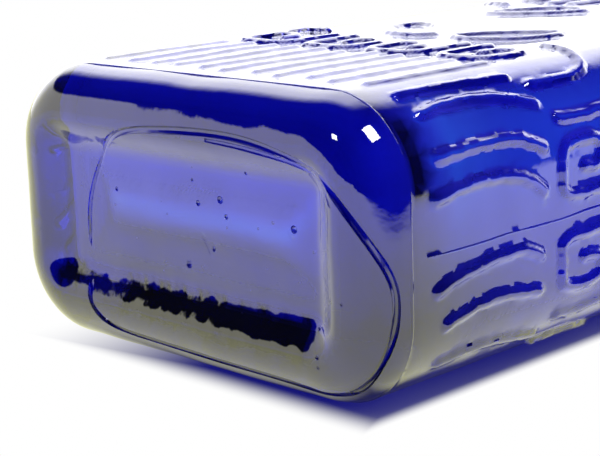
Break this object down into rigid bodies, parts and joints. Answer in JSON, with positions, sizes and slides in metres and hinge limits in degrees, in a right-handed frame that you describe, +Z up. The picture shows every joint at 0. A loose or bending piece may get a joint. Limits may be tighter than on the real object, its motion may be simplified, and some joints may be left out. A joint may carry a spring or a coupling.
{
  "type": "swing top bottle",
  "caption": "Flat moulded glass flask with a hinged wire bail closure, a porcelain stopper and a rubber ring, for storing and pouring liquids.",
  "frame": {"origin": "middle of the base, on the plane that the bottle stands on", "axes": "+Z up the bottle's axis to the mouth, X along the wide faces, -Y the front with the lever's thumb loop"},
  "size_m": [0.0918, 0.0506, 0.2684],
  "materials": {
    "cobalt_glass": "clear moulded glass, fire polished, slightly wavy",
    "wire": "drawn steel wire, plated",
    "porcelain": "white glaze",
    "red_rubber": "matt moulded rubber"
  },
  "bodies": {
    "bottle": {"glass_bottle": "cobalt_glass", "front_neck_wire": "wire", "rear_neck_wire": "wire"},
    "lever": {"lever_wire": "wire"},
    "bail": {"bail_wire": "wire"},
    "stopper": {"stopper": "porcelain", "gasket": "red_rubber"}
  },
  "joints": [
    {"name": "lever_hinge", "type": "hinge", "parent": "bottle", "child": "lever", "pos_m": [0, 0, 0.2425], "axis": [-1, 0, 0], "range_deg": [0, 175]},
    {"name": "bail_hinge", "type": "hinge", "parent": "lever", "child": "bail", "pos_m": [0, 0.00191, 0.23167], "axis": [-1, 0, 0], "range_deg": [-114, 0]},
    {"name": "stopper_hinge", "type": "hinge", "parent": "bail", "child": "stopper", "pos_m": [0, 0, 0.2611], "axis": [-1, 0, 0], "range_deg": [-61.5, 0]}
  ],
  "couplings": [
    {"joint": "bail_hinge", "follows": "lever_hinge", "ratio": -0.65},
    {"joint": "stopper_hinge", "follows": "lever_hinge", "ratio": -0.35}
  ]
}
